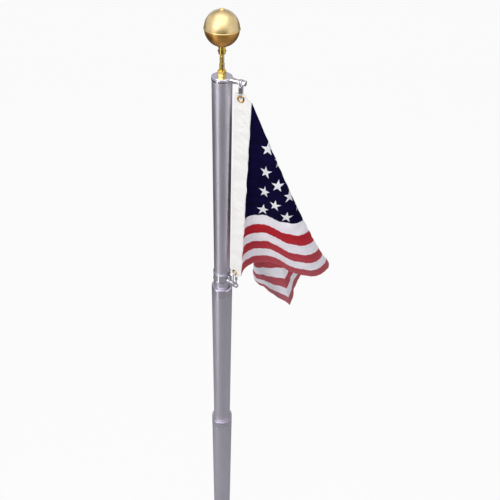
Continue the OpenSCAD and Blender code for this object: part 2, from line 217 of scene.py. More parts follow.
def thread_shape(radius, depth, pitch, z0, z1, segments=32):
    """Screw thread along Z, its ends turned down."""
    rows = int((z1 - z0) / pitch * 6)
    z = np.linspace(z0, z1, rows)[:, None]
    turn = full_turn(segments)[None, :]
    phase = (z / pitch - turn / (2 * math.pi)) % 1
    end = np.clip(np.minimum(z - z0, z1 - z) / pitch, 0, 1)
    r = radius - depth * (np.abs(phase * 2 - 1) * end + (1 - end))
    rings = np.stack([r * np.cos(turn), r * np.sin(turn), z + 0 * turn], 2)
    return skin(rings)


def wire_loop(path, radius, sides=20):
    """Round wire along a closed path that lies in the YZ plane."""
    across = np.array([1.0, 0, 0])
    out = np.cross(unit(np.roll(path, -1, 0) - np.roll(path, 1, 0)), across)[:, None]
    turn = full_turn(sides)[None, :, None]
    return skin(path[:, None] + radius * (np.cos(turn) * out + np.sin(turn) * across), loop=True)


def make(name, shape, material, body, replaces=(), sharp=40):
    """Mesh object from a shape, riding on a body and standing for the named CAD nodes."""
    mesh = bpy.data.meshes.new(name)
    mesh.from_pydata([tuple(p) for p in shape[0]], [], shape[1])
    mesh.validate()
    mesh.shade_smooth()
    mesh.set_sharp_from_angle(angle=math.radians(sharp))
    mesh.materials.append(material)
    piece = bpy.data.objects.new(name, mesh)
    scene.collection.objects.link(piece)
    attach(piece, body)
    if replaces:
        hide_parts(*replaces)
    return piece


def outward(bearing):
    turn = math.radians(bearing)
    return np.array([math.cos(turn), -math.sin(turn), 0])


# ---- materials


class Nodes:
    """Short calls for building one material's nodes."""

    def __init__(self, name):
        self.material = bpy.data.materials.new(name)
        self.material.use_nodes = True
        self.tree = self.material.node_tree
        self.shader = self.tree.nodes["Principled BSDF"]

    def set(self, values):
        for name, value in values.items():
            self.shader.inputs[name].default_value = value

    def node(self, kind, **values):
        n = self.tree.nodes.new(kind)
        for name, value in values.items():
            if hasattr(n, name):
                setattr(n, name, value)
            else:
                n.inputs[name.replace("_", " ")].default_value = value
        return n

    def link(self, a, b):
        self.tree.links.new(a, b)

    def place(self, scale, attribute=None):
        """Coordinates scaled on each axis: the object's own, or a stored attribute."""
        if attribute:
            source = self.node("ShaderNodeAttribute", attribute_name=attribute).outputs["Vector"]
        else:
            source = self.node("ShaderNodeTexCoord").outputs["Object"]
        mapping = self.node("ShaderNodeMapping", Scale=scale)
        self.link(source, mapping.inputs["Vector"])
        return mapping.outputs["Vector"]

    def noise(self, scale, detail=3, attribute=None):
        n = self.node("ShaderNodeTexNoise", Scale=1.0, Detail=detail)
        self.link(self.place(scale, attribute), n.inputs["Vector"])
        return n.outputs["Fac"]

    def ramp(self, factor, low, high, start=0.3, end=0.7):
        n = self.node("ShaderNodeMapRange")
        for name, value in (("From Min", start), ("From Max", end), ("To Min", low), ("To Max", high)):
            n.inputs[name].default_value = value
        self.link(factor, n.inputs["Value"])
        return n.outputs["Result"]

    def mix(self, factor, a, b):
        n = self.node("ShaderNodeMix", data_type="RGBA")
        self.link(factor, n.inputs["Factor"])
        for socket, value in ((6, a), (7, b)):
            if isinstance(value, tuple):
                n.inputs[socket].default_value = (*value[:3], 1)
            else:
                self.link(value, n.inputs[socket])
        return n.outputs[2]

    def math(self, operation, a, b):
        n = self.node("ShaderNodeMath", operation=operation)
        for socket, value in ((0, a), (1, b)):
            if isinstance(value, (int, float)):
                n.inputs[socket].default_value = value
            else:
                self.link(value, n.inputs[socket])
        return n.outputs[0]

    def wave(self, scale, axis, attribute=None):
        n = self.node("ShaderNodeTexWave", bands_direction=axis, Scale=1.0)
        self.link(self.place(scale, attribute), n.inputs["Vector"])
        return n.outputs["Fac"]

    def bump(self, height, strength, distance):
        n = self.node("ShaderNodeBump", Strength=strength, Distance=distance)
        self.link(height, n.inputs["Height"])
        self.link(n.outputs["Normal"], self.shader.inputs["Normal"])

    def colour(self, socket):
        self.link(socket, self.shader.inputs["Base Color"])

    def roughness(self, socket):
        self.link(socket, self.shader.inputs["Roughness"])


def drawn_aluminium(name, light, dark, low, high):
    """Satin tube: faint lines along its length, with blotches of slightly duller metal."""
    m = Nodes(name)
    m.set({"Metallic": 1.0})
    lines = m.noise((900, 900, 3), 2)
    blotch = m.noise((14, 14, 5), 4)
    m.colour(m.mix(m.ramp(m.math("ADD", lines, blotch), 0, 1, 0.7, 1.3), dark, light))
    m.roughness(m.ramp(m.math("ADD", lines, blotch), low, high, 0.7, 1.3))
    m.bump(lines, 0.06, 0.1 * MM)
    return m.material


def turned_metal(name, light, dark, low, high, lines=700, strength=0.05, lacquer=0.0):
    """Metal turned or spun round Z: fine rings, slow changes of tint, and clear lacquer if any."""
    m = Nodes(name)
    m.set({"Metallic": 1.0, "Coat Weight": lacquer, "Coat Roughness": 0.35, "Coat IOR": 1.8})
    rings = m.noise((12, 12, lines), 2)
    blotch = m.noise((45, 45, 45), 4)
    m.colour(m.mix(m.ramp(m.math("ADD", rings, blotch), 0, 1, 0.7, 1.3), dark, light))
    m.roughness(m.ramp(blotch, low, high))
    m.bump(rings, strength, 0.1 * MM)
    return m.material


def moulded(name, light, dark, roughness):
    """Plain moulded plastic with a fine grain."""
    m = Nodes(name)
    grain = m.noise((700, 700, 700), 2)
    m.colour(m.mix(m.ramp(m.noise((30, 30, 30), 3), 0, 1), dark, light))
    m.set({"Roughness": roughness})
    m.bump(grain, 0.15, 0.1 * MM)
    return m.material


def woven(name, light, dark, thread, roughness=0.8, sheen=0.2, weave=0.25, gloss=0.3,
          streak=(9, 60, 1), lit_through_colour=None):
    """Cloth: two sets of threads crossing, at a pitch of thread metres, with soft streaks.

    A lighter colour comes in towards the foot and the fly: painted light, standing in for light shining
    through the thin cloth there."""
    m = Nodes(name)
    turns = 2 * math.pi / thread / 20
    warp = m.wave((turns, 0, 0), "X", "flat")
    weft = m.wave((0, turns, 0), "Y", "flat")
    cross = m.math("MULTIPLY", warp, weft)
    slub = m.noise((40, 900, 1), 3, "flat")
    streaks = m.noise(streak, 3, "flat")
    uneven = m.math("ADD", m.math("MULTIPLY", slub, 0.4), streaks)
    tint = m.math("ADD", m.math("MULTIPLY", cross, 0.35), uneven)
    colour = m.mix(m.ramp(tint, 0, 1, 0.55, 1.15), dark, light)
    # Painted light: towards the foot and the fly the colour turns lighter, as if light shone through the
    # cloth.
    if lit_through_colour:
        place = m.node("ShaderNodeSeparateXYZ")
        m.link(m.place((1, 1, 1), "flat"), place.inputs[0])
        reach = m.math("ADD", m.math("MULTIPLY", place.outputs["X"], 0.3), place.outputs["Y"])
        colour = m.mix(m.ramp(reach, 0, 1, 0.42, 0.76), colour, lit_through_colour)
    m.colour(colour)
    m.set({"Roughness": roughness, "Sheen Weight": sheen, "Sheen Roughness": 0.4,
           "Specular IOR Level": gloss})
    m.bump(m.math("ADD", cross, m.math("MULTIPLY", slub, 0.5)), weave, 0.12 * MM)
    return m.material


pole_grey = drawn_aluminium("pole_aluminium", (0.70, 0.67, 0.76), (0.61, 0.58, 0.66), 0.38, 0.48)
collar_grey = turned_metal("collar_aluminium", (0.64, 0.61, 0.69), (0.56, 0.53, 0.61), 0.26, 0.34)
cap_grey = turned_metal("cap_aluminium", (0.66, 0.64, 0.74), (0.58, 0.56, 0.66), 0.24, 0.32)
nylon = moulded("nylon_guide", (0.85, 0.83, 0.76), (0.78, 0.76, 0.69), 0.45)
plug_black = moulded("base_plug", (0.07, 0.07, 0.075), (0.04, 0.04, 0.045), 0.55)
screw_black = turned_metal("set_screws", (0.20, 0.10, 0.04), (0.12, 0.06, 0.03), 0.3, 0.4)
pale_gold = turned_metal("gold_ball", (0.70, 0.52, 0.23), (0.64, 0.46, 0.18), 0.36, 0.44, 500, 0.04, 1.0)
# The lower half's gold is a darker, browner copy of the ball's gold with little lacquer: painted shade,
# the dark brown reflection under the ball.
painted_shade_gold = turned_metal("gold_ball_lower_painted_shade", (0.74, 0.39, 0.10), (0.62, 0.30, 0.07), 0.34, 0.42, 500, 0.04,
                         0.05)
bead_gold = turned_metal("gold_bead", (0.88, 0.70, 0.34), (0.82, 0.62, 0.28), 0.18, 0.25)
brass = turned_metal("brass_spindle", (0.83, 0.60, 0.18), (0.74, 0.50, 0.13), 0.12, 0.2)
steel = turned_metal("bright_steel", (0.72, 0.70, 0.76), (0.62, 0.60, 0.67), 0.15, 0.25, 90, 0.03)
# The grommets' brass is darker than the spindle's: painted shade, standing in for the dark inside of the
# lower grommet's hole.
darkened_grommet_brass = turned_metal("brass_grommet", (0.68, 0.46, 0.14), (0.52, 0.33, 0.09), 0.16, 0.26)
canvas = woven("heading_canvas", (0.93, 0.92, 0.90), (0.85, 0.83, 0.81), 0.8 * MM, 0.85, 0.15, 0.4,
               0.3, (25, 25, 1))
navy = woven("flag_blue", (0.005, 0.002, 0.045), (0.001, 0.0008, 0.012), 0.5 * MM, 0.85, 0.0, 0.25, 0.06)
# The red's lighter, mauver colour towards its tail is painted light shining through the cloth.
red = woven("flag_red", (0.50, 0.016, 0.030), (0.38, 0.008, 0.018), 0.5 * MM, 0.75, 0.02, 0.25, 0.15,
            lit_through_colour=(0.46, 0.11, 0.14))
white = woven("flag_white", (0.90, 0.87, 0.92), (0.80, 0.76, 0.82), 0.5 * MM, 0.7, 0.1)
star_white = woven("star_white", (0.86, 0.85, 0.88), (0.74, 0.73, 0.78), 0.7 * MM, 0.75, 0.12, 0.4)
thread_white = moulded("thread_white", (0.88, 0.87, 0.86), (0.78, 0.77, 0.76), 0.7)

# ---- pole sections


def turned_piece(node, corners, material, segments=128, body="section_1"):
    """Piece turned round Z, which stands for its node."""
    make(node + "_turned", lathe(rounded(corners, 0.3 * MM), segments), material, body, [node])


def tube_piece(node, body):
    low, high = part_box(node)
    shape = tube_shape(high.x, high.x - tube_wall, low.z, high.z)
    make(node + "_drawn", shape, pole_grey, body, [node])


def collar_piece(node, body, inner_tube_r, spigot_h=30 * MM):
    """Bevelled collar, with the thin seam line at its foot and the spigot inside the tube."""
    low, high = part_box(node)
    top, seam_z = high.z, low.z + spigot_h
    outer, inner = high.x, inner_tube_r + fit_gap
    spigot = outer - tube_wall - fit_gap
    turned_piece(node, [
        (inner, top - 0.8 * MM, 0.3 * MM), (inner + 0.8 * MM, top, 0.3 * MM),
        (outer - 1.6 * MM, top, 0.4 * MM), (outer, top - 3.5 * MM, 0.8 * MM),
        (outer, seam_z + 0.3 * MM, 0.2 * MM), (outer - 0.6 * MM, seam_z, 0.1 * MM),
        (spigot, seam_z, 0.1 * MM), (spigot, low.z, 0.4 * MM), (inner, low.z, 0.4 * MM)],
        collar_grey, body=body)


tube_piece("section_3_tube", "section_3")
tube_piece("section_2_tube", "section_2")
tube_piece("section_1_tube", "section_1")
collar_piece("section_3_collar", "section_3", section_2_r)
collar_piece("section_2_collar", "section_2", section_1_r)
for guide in ("section_1_guide", "section_2_guide"):
    low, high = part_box(guide)
    bore = section_1_r if guide == "section_1_guide" else section_2_r
    make(guide + "_moulded", tube_shape(high.x, bore + 0.1 * MM, low.z, high.z, 1.2 * MM),
         nylon, guide[:9], [guide])
plug_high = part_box("base_plug")[1]
rim_r = plug_high.x
make("base_plug_moulded", lathe(rounded([
    (0, 0), (rim_r - 12 * MM, 0), (rim_r - 12 * MM, 2 * MM), (rim_r - 5 * MM, 2 * MM),
    (rim_r - 5 * MM, 0), (rim_r, 0), (rim_r, plug_high.z), (0, plug_high.z)], 0.8 * MM)),
    plug_black, "section_3", ["base_plug"])

# ---- cap, spindle and ball
cap_rim_h = 3.2 * MM
spindle_r = 5 * MM
stem_r = 17 * MM
cap_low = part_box("pole_cap")[0].z
tube_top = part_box("section_1_tube")[1].z
cap_plug_r = section_1_r - tube_wall - fit_gap
turned_piece("pole_cap", [
    (spindle_r + slip, cap_top, 0.1 * MM), (section_1_r - 2.2 * MM, cap_top, 0.3 * MM),
    (section_1_r, cap_top - 1.6 * MM, 0.4 * MM), (section_1_r, cap_top - cap_rim_h, 0.3 * MM),
    (stem_r, cap_top - cap_rim_h, 0.2 * MM), (stem_r, tube_top, 0.2 * MM),
    (cap_plug_r, tube_top, 0.2 * MM), (cap_plug_r, cap_low, 0.8 * MM),
    (spindle_r + slip, cap_low, 0.3 * MM)], cap_grey)

nut_low, nut_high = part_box("hex_nut")
nut_flats = 18 * MM
nut = placed(hex_shape(nut_flats, 0, nut_high.z - nut_low.z, spindle_r + slip),
             Matrix.Translation((0, 0, nut_low.z)) @ Matrix.Rotation(math.radians(8), 4, "Z"))
make("hex_nut_cut", nut, brass, "section_1", ["hex_nut"], 25)

spindle_low, spindle_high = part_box("spindle")
shoulder_r, shoulder_top = 5.75 * MM, cap_top + 29 * MM
socket_low, socket_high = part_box("ball_socket")
turned_piece("spindle", [
    (0, spindle_low.z), (spindle_r, spindle_low.z), (spindle_r, nut_high.z - MM),
    (shoulder_r, nut_high.z - MM), (shoulder_r, shoulder_top, 0.8 * MM),
    (spindle_r, shoulder_top), (spindle_r, socket_low.z - 3 * MM, 0.3 * MM),
    (spindle_r - 0.6 * MM, socket_low.z - 2.4 * MM), (spindle_r - 0.6 * MM, socket_low.z - 0.8 * MM),
    (spindle_r, socket_low.z - 0.2 * MM), (spindle_r, spindle_high.z), (0, spindle_high.z)],
    brass, 64)

ball_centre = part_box("ball_upper_half")[0].z - 0.15 * MM
ball_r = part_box("ball_upper_half")[1].x
socket_r = socket_high.x
turned_piece("ball_socket", [
    (spindle_r + slip, socket_low.z), (socket_r - 2 * MM, socket_low.z, 0.3 * MM),
    (socket_r, socket_low.z + 2.5 * MM, 0.5 * MM), (socket_r, socket_low.z + 13 * MM, 0.2 * MM),
    (socket_r - 0.5 * MM, socket_low.z + 13.4 * MM, 0.1 * MM),
    (socket_r - 0.5 * MM, socket_low.z + 14.2 * MM, 0.1 * MM),
    (socket_r, socket_low.z + 14.6 * MM, 0.2 * MM), (socket_r, socket_high.z - 0.3 * MM, 0.3 * MM),
    (spindle_r + slip, ball_centre - ball_r - 0.1 * MM)], brass, 64)
screw_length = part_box("set_screws")[1].x - spindle_r - fit_gap
screw_r, key_r, key_depth = 1.5 * MM, 0.8 * MM, 1.3 * MM
screw = lathe(rounded([(0, 0), (screw_r, 0), (screw_r, screw_length, 0.4 * MM), (key_r, screw_length),
                       (key_r, screw_length - key_depth), (0, screw_length - key_depth)], 0.1 * MM), 32)
screws = []
for side in (-1, 1):
    turn = Matrix.Rotation(math.radians(90 * side), 4, "Y")
    screws.append(placed(screw, Matrix.Translation((0, 0, socket_low.z + 8 * MM)) @ turn
                         @ Matrix.Translation((0, 0, spindle_r + 0.3 * MM))))
make("set_screws_cut", join(screws), screw_black, "section_1", ["set_screws"])


def ball_half(up):
    wall, rings = 1.5 * MM, 48
    edge = 0.15 * MM
    start = math.asin(edge / ball_r)
    inner_r = ball_r - wall
    outer_turns, inner_turns = np.linspace(start, math.pi / 2, rings), np.linspace(math.pi / 2, start, 24)
    outer = [(ball_r * math.cos(a), ball_r * math.sin(a)) for a in outer_turns[:-1]] + [(0, ball_r)]
    inner = [(0, inner_r)] + [(inner_r * math.cos(a), inner_r * math.sin(a)) for a in inner_turns[1:]]
    shape = lathe(outer + inner, 160)
    if not up:
        shape = shape[0] * [1, 1, -1], [face[::-1] for face in shape[1]]
    return raised(shape, ball_centre)


# The lower half takes the darker copy of the gold: painted shade.
make("ball_lower_half_spun", ball_half(False), painted_shade_gold, "section_1", ["ball_lower_half"])
make("ball_upper_half_spun", ball_half(True), pale_gold, "section_1", ["ball_upper_half"])
bead_r, bead_out = 0.85 * MM, 0.75 * MM
bead = [(ball_r + bead_out + bead_r * math.cos(a), bead_r * math.sin(a))
        for a in np.arange(12) * math.pi / 6]
make("ball_seam_rolled", raised(lathe(bead, 160), ball_centre), bead_gold, "section_1",
     ["ball_seam"], 80)
button_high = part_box("ball_button")[1]
button_r = button_high.x
turned_piece("ball_button", [
    (0, button_high.z - 0.9 * MM), (2.2 * MM, button_high.z - 0.9 * MM, 0.2 * MM),
    (2.9 * MM, button_high.z, 0.4 * MM), (button_r - 0.6 * MM, button_high.z, 0.6 * MM),
    (button_r, ball_centre + ball_r - 0.3 * MM, 0.2 * MM), (0, ball_centre + ball_r - 0.3 * MM)],
    bead_gold, 64)

# ---- swivel arms and links
neck_r, neck_w = 3.25 * MM, 6 * MM
flange_w, flange_r, knob_w = 2.5 * MM, 6.5 * MM, 8 * MM
upper_arm_z = cap_top - cap_rim_h - fit_gap - 3 * MM
lower_ring_h = 32 * MM
lower_ring_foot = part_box("lower_swivel_arm")[1].z - lower_ring_h
lower_arm_z = lower_ring_foot + 10 * MM


def arm_shape(saddle_r, reach, root_y, root_z, flare):
    """Arm along +X: root fitted to a cylinder of saddle_r, taper, flange, neck and knob."""
    turn = full_turn(64)
    flange_x = reach - neck_w / 2 - flange_w
    tip_r = 4.7 * MM
    rings = []
    for k in np.linspace(0, 1, 15):
        spread = flare * (1 - k) ** 5
        slim = (1 - k) ** 0.9
        y = (tip_r + (root_y - tip_r) * slim + spread) * np.cos(turn)
        z = (tip_r + (root_z - tip_r) * slim) * np.sin(turn)
        foot = np.sqrt(np.maximum(saddle_r ** 2 - y ** 2, 0))
        rings.append(np.stack([foot * (1 - k) + flange_x * k, y, z], 1))
    head = rounded([(tip_r, flange_x), (flange_r, flange_x, 0.5 * MM),
                    (flange_r, flange_x + flange_w, 0.5 * MM), (neck_r, flange_x + flange_w, 0.4 * MM),
                    (neck_r, reach + neck_w / 2, 0.4 * MM), (flange_r, reach + neck_w / 2, 0.7 * MM),
                    (flange_r, reach + neck_w / 2 + knob_w, 2.6 * MM), (0, reach + neck_w / 2 + knob_w),
                    (0, flange_x)], 0.3 * MM, 5)
    spool = lathe(head[:-1] + [np.array([0, flange_x])], 64)
    lying = spool[0][:, [2, 1, 0]] * [1, 1, -1], spool[1]
    return join([skin(np.array(rings)), lying])


def at_bearing(bearing, z):
    return Matrix.Translation((0, 0, z)) @ Matrix.Rotation(math.radians(-bearing), 4, "Z")


upper_ring_outer = section_1_r + 0.7 * MM
upper_ring = tube_shape(upper_ring_outer, stem_r + fit_gap, -3 * MM, 3 * MM, 0.9 * MM)
upper_ring = raised(upper_ring, upper_arm_z)
make("upper_swivel_arm_cast", join([upper_ring, placed(
    arm_shape(section_1_r + 0.4 * MM, upper_reach, 7.2 * MM, 6.9 * MM, 3.5 * MM),
    at_bearing(upper_arm_bearing, upper_arm_z))]), steel, "upper_swivel",
    ["upper_swivel_arm"])

band_inner, band_outer = section_1_r + fit_gap, section_1_r + 2.9 * MM
band = raised(lathe(rounded([
    (band_inner, 0), (band_outer - 0.2 * MM, 0, 0.4 * MM), (band_outer, 1.2 * MM, 0.5 * MM),
    (band_outer - 0.9 * MM, 3.4 * MM, 0.5 * MM),
    (band_outer - 0.9 * MM, lower_ring_h - 3.4 * MM, 0.5 * MM),
    (band_outer, lower_ring_h - 1.2 * MM, 0.5 * MM), (band_outer - 0.2 * MM, lower_ring_h, 0.4 * MM),
    (band_inner, lower_ring_h)], 0.4 * MM)), lower_ring_foot)


def gusset_shape():
    """Cast web over the arm's root: a frame with a crossed rib on each face, and the band's rib."""
    x0, x1 = band_outer - 1.2 * MM, band_outer + 12 * MM
    z0, z1 = 4 * MM, 20 * MM
    web = box_shape((x0, x1), (-2.2 * MM, 2.2 * MM), (z0, z1), 0.6 * MM)
    ribs = []
    long, tall = x1 - x0, z1 - z0
    lean = math.atan2(tall - 3 * MM, long - 3 * MM)
    reach = math.hypot(tall - 3 * MM, long - 3 * MM) / 2
    for slope in (-lean, lean):
        rib = box_shape((-reach, reach), (-4 * MM, 4 * MM), (-1.2 * MM, 1.2 * MM), 0.5 * MM)
        ribs.append(placed(rib, Matrix.Translation(((x0 + x1) / 2, 0, (z0 + z1) / 2))
                           @ Matrix.Rotation(slope, 4, "Y")))
    for x in (x0 + 1.2 * MM, x1 - 1.2 * MM):
        ribs.append(box_shape((x - 1.2 * MM, x + 1.2 * MM), (-3.6 * MM, 3.6 * MM), (z0, z1), 0.5 * MM))
    for z in (z0 + 1.0 * MM, z1 - 1.0 * MM):
        ribs.append(box_shape((x0, x1), (-3.6 * MM, 3.6 * MM), (z - MM, z + MM), 0.5 * MM))
    return join([web] + ribs)


def band_lugs():
    """Two upright lips on the band beside the arm, with the clamp's gap between them."""
    shapes = []
    for turn in (9, 17):
        lip = box_shape((band_outer - 1.5 * MM, band_outer + 2.2 * MM), (-1.1 * MM, 1.1 * MM),
                        (MM, lower_ring_h - MM), 0.5 * MM)
        shapes.append(placed(lip, at_bearing(lower_arm_bearing + turn, lower_ring_foot)))
    return shapes


make("lower_swivel_arm_cast", join([band, placed(
    join([arm_shape(band_outer - 0.6 * MM, lower_reach, 7.2 * MM, 6.9 * MM, 1.5 * MM), gusset_shape()]),
    at_bearing(lower_arm_bearing, lower_arm_z))] + band_lugs()), steel, "lower_swivel",
    ["lower_swivel_arm"])


def link_path(length, count=24):
    """Middle line of a quick link in the YZ plane, with its upper bend's centre at the origin."""
    straight = length - 2 * link_bend_r - 2 * link_wire_r
    bend = np.linspace(0, math.pi, count)
    top = [(0, link_bend_r * math.cos(a), link_bend_r * math.sin(a)) for a in bend]
    foot = [(0, -link_bend_r * math.cos(a), -straight - link_bend_r * math.sin(a)) for a in bend]
    down = [(0, -link_bend_r, -straight * k / 16) for k in range(1, 16)]
    up = [(0, link_bend_r, -straight + straight * k / 16) for k in range(1, 16)]
    return np.array(top + down + foot + up), straight


def link_pieces(name, body, length, matrix):
    path, straight = link_path(length)
    sleeve_h = 15 * MM
    middle = -straight / 2
    threads = thread_shape(link_wire_r + 0.25 * MM, 0.35 * MM, 0.9 * MM,
                           middle - sleeve_h / 2 - 4 * MM, middle + sleeve_h / 2 + 2 * MM, 24)
    threads = threads[0] + [0, -link_bend_r, 0], threads[1]
    make(name + "_wire", placed(join([wire_loop(path, link_wire_r), threads]), matrix), steel, body,
         [name])
    sleeve_flats, bore_r = 6.6 * MM, link_wire_r + 0.1 * MM
    sleeve = hex_shape(sleeve_flats, middle - sleeve_h / 2, middle + sleeve_h / 2, bore_r, 0.2, 96)
    sleeve = sleeve[0] + [0, -link_bend_r, 0], sleeve[1]
    make(name + "_sleeve_cut", placed(sleeve, matrix), steel, body,
         [name + "_sleeve"], 25)


link_pieces("upper_link", "upper_swivel", upper_link_length,
            at_bearing(upper_arm_bearing, upper_arm_z + link_rise - link_bend_r)
            @ Matrix.Translation((upper_reach, 0, 0)))
link_pieces("lower_link", "lower_swivel", lower_link_length,
            at_bearing(lower_arm_bearing, lower_arm_z - link_rise + link_bend_r)
            @ Matrix.Translation((lower_reach, 0, 0)) @ Matrix.Rotation(math.pi, 4, "X"))

# ---- heading


def box_middle(node):
    low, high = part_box(node)
    return np.array((low + high) / 2)


upper_at, lower_at = box_middle("upper_grommet"), box_middle("lower_grommet")
upper_at[:2] = (upper_reach * outward(upper_arm_bearing))[:2]
lower_at[:2] = (lower_reach * outward(lower_arm_bearing))[:2]
grommet_span = upper_at[2] - lower_at[2]
heading_length = grommet_span + 2 * grommet_inset
heading_t = 1.8 * MM


def heading_end(s):
    """Height of the heading's end above its grommet, at s from the grommets' line."""
    return grommet_inset - np.maximum(0, s - heading_outer_w + heading_corner)


def heading_at(s, share):
    s, share = np.asarray(s, float)[..., None], np.asarray(share, float)[..., None]
    end = heading_end(s)
    up = np.array([0, 0, 1.0])
    top = upper_at + outward(upper_arm_bearing) * s + up * end
    foot = lower_at + outward(lower_arm_bearing) * s - up * end
    return top * (1 - share) + foot * share


def heading_normal(s, share):
    across = unit(heading_at(s + MM, share) - heading_at(s - MM, share))
    line = np.zeros_like(s)
    down = heading_at(line, np.ones_like(share)) - heading_at(line, np.zeros_like(share))
    return unit(np.cross(down, across))


def slab(middle, normal, half, flat):
    """Closed sheet from a grid of middle points, its normals and half thickness."""
    rows, columns = middle.shape[:2]
    half = np.broadcast_to(half, (rows, columns))[..., None]
    points = np.concatenate([(middle + normal * half * side).reshape(-1, 3) for side in (1, -1)])
    n = rows * columns
    faces = []
    for i in range(rows - 1):
        for j in range(columns - 1):
            a = i * columns + j
            faces.append([a, a + columns, a + columns + 1, a + 1])
            faces.append([n + a, n + a + 1, n + a + columns + 1, n + a + columns])
    edge = list(range(columns)) + [i * columns + columns - 1 for i in range(1, rows)]
    edge += [(rows - 1) * columns + j for j in range(columns - 2, -1, -1)]
    edge += [i * columns for i in range(rows - 2, 0, -1)]
    for a, b in zip(edge, edge[1:] + edge[:1]):
        faces.append([a, b, n + b, n + a])
    return points, faces, np.concatenate([flat.reshape(-1, 2)] * 2)


def cloth_piece(name, shapes, material, replaces=()):
    """Piece from slabs, with each point's place in the flat cloth stored for its material."""
    shape = join([(s[0], s[1]) for s in shapes])
    flat = np.concatenate([s[2] for s in shapes])
    piece = make(name, shape, material, "upper_swivel", replaces, 60)
    store = piece.data.attributes.new("flat", "FLOAT_VECTOR", "POINT")
    store.data.foreach_set("vector", np.c_[flat, np.zeros(len(flat))].astype(np.float32).ravel())
    return piece


def ripple(s, t, sizes):
    """Sum of slow waves, in metres: each is (length, slant, height, phase)."""
    total = 0
    for length, slant, height, phase in sizes:
        total = total + height * np.sin(2 * math.pi * (t + slant * s) / length + phase)
    return total


heading_folds = [(31 * MM, 0.5, 0.30 * MM, 0.4), (19 * MM, -0.35, 0.22 * MM, 1.7),
                 (53 * MM, 0.2, 0.45 * MM, 2.9), (11 * MM, 0.6, 0.10 * MM, 5.0)]


def heading_sheet():
    """Folded canvas: rounded long edges, a sunk line at each row of stitches, soft wrinkles."""
    fold = 1.2 * MM
    s = np.concatenate([np.linspace(-heading_inner_w, -heading_inner_w + fold, 5)[:-1],
                        np.linspace(-heading_inner_w + fold, heading_outer_w - fold, 34),
                        np.linspace(heading_outer_w - fold, heading_outer_w, 5)[1:]])
    share = np.concatenate([np.linspace(0, 0.003, 4)[:-1], np.linspace(0.003, 0.997, 230),
                            np.linspace(0.997, 1, 4)[1:]])
    share, s = np.meshgrid(share, s, indexing="ij")
    t = share * heading_length
    normal = heading_normal(s, share)
    edge = np.minimum(s + heading_inner_w, heading_outer_w - s)
    end = np.minimum(t, heading_length - t)
    side, tip = np.clip(edge / fold, 0, 1), np.clip(end / fold, 0, 1)
    half = heading_t / 2 * np.sqrt(1 - (1 - side) ** 2 * 0.9) * np.sqrt(1 - (1 - tip) ** 2 * 0.9)
    for row in heading_rows:
        half = half - 0.3 * MM * np.exp(-((s - row) / (0.9 * MM)) ** 2)
    calm = np.clip(np.hypot(s, np.minimum(t - grommet_inset, 10)) / (14 * MM) - 0.6, 0, 1)
    calm = calm * np.clip(np.hypot(s, t - grommet_span - grommet_inset) / (14 * MM) - 0.6, 0, 1)
    middle = heading_at(s, share) + normal * (ripple(s, t, heading_folds) * calm)[..., None]
    return slab(middle, normal, half, np.stack([s, t], 2))


heading_rows = (-heading_inner_w + 3.5 * MM, heading_outer_w - 3 * MM, heading_outer_w - 7 * MM)
heading_canvas = cloth_piece("flag_heading_canvas", [heading_sheet()], canvas,
                             ["flag_heading"])


def grommet_shape():
    """Rolled brass eyelet: a domed flange on each face of the canvas and the barrel between."""
    r_hole, r_out, half = grommet_hole_r, 9.5 * MM, heading_t / 2 + 0.15 * MM
    dome = [(r_hole, half - 0.6 * MM), (r_hole + 0.1 * MM, half + 0.6 * MM),
            (r_hole + 0.5 * MM, half + 1.2 * MM), (r_hole + 1.2 * MM, half + 1.45 * MM),
            (r_hole + 2.2 * MM, half + 1.3 * MM), (r_out - 0.8 * MM, half + 0.6 * MM),
            (r_out - 0.2 * MM, half + 0.35 * MM), (r_out, half + 0.05 * MM),
            (r_out - 0.3 * MM, half - 0.05 * MM), (r_hole + 0.8 * MM, half - 0.05 * MM)]
    return lathe(dome + [(r, -z) for r, z in reversed(dome)], 72)


def grommet_piece(node, at, share):
    s, share = np.array([0.0]), np.array([share])
    normal = heading_normal(s, share)[0]
    across = unit(heading_at(s + MM, share) - heading_at(s - MM, share))[0]
    third = np.cross(normal, across)
    matrix = np.eye(4)
    matrix[:3, 0], matrix[:3, 1], matrix[:3, 2], matrix[:3, 3] = across, third, normal, at
    make(node + "_rolled", placed(grommet_shape(), matrix), darkened_grommet_brass, "upper_swivel",
         [node], 50)


end_share = grommet_inset / heading_length
grommet_piece("upper_grommet", upper_at, end_share)
grommet_piece("lower_grommet", lower_at, 1 - end_share)

# ---- the hung cloth
# The same rule as in the CAD source: folds run out from the cloth's top corner along rays.
# FOLD_TURNS and CURLS repeat its two tables. They were not chosen by hand: another program
# fitted them to the cloth's outline, and they are rounded to whole degrees.
FOLD_TURNS = [(0, 90), (3, 0), (6, -13), (9, -15), (12, -47), (18, -46), (21, -25), (24, -25),
              (27, 17), (30, 54), (33, 160), (36, 165), (40, 174), (45, 99), (50, 169), (55, 165),
              (60, 21), (65, 66), (70, 76), (76, 88), (90, 90)]
FOLD_STEP = 0.5
CURLS = [(0, 0), (5, 30), (10, 43), (15, 55), (30, 69), (36, 84), (42, 54), (48, 24), (54, 40), (60, 46),
         (90, 47)]
CURL_START = 130 * MM
CANTON_SHARE = 0.63
SLACK_ANGLE = 30


def lookup(x, pairs):
    keys, values = zip(*pairs)
    return np.interp(x, keys, values)


def heading_corner_point(at, bearing, sign):
    corner = at + outward(bearing) * cloth_start
    corner[2] += sign * heading_end(heading_outer_w)
    return corner


flag_corner = heading_corner_point(upper_at, upper_arm_bearing, 1)
flag_foot = heading_corner_point(lower_at, lower_arm_bearing, -1)
flag_edge = np.linalg.norm(flag_foot - flag_corner)


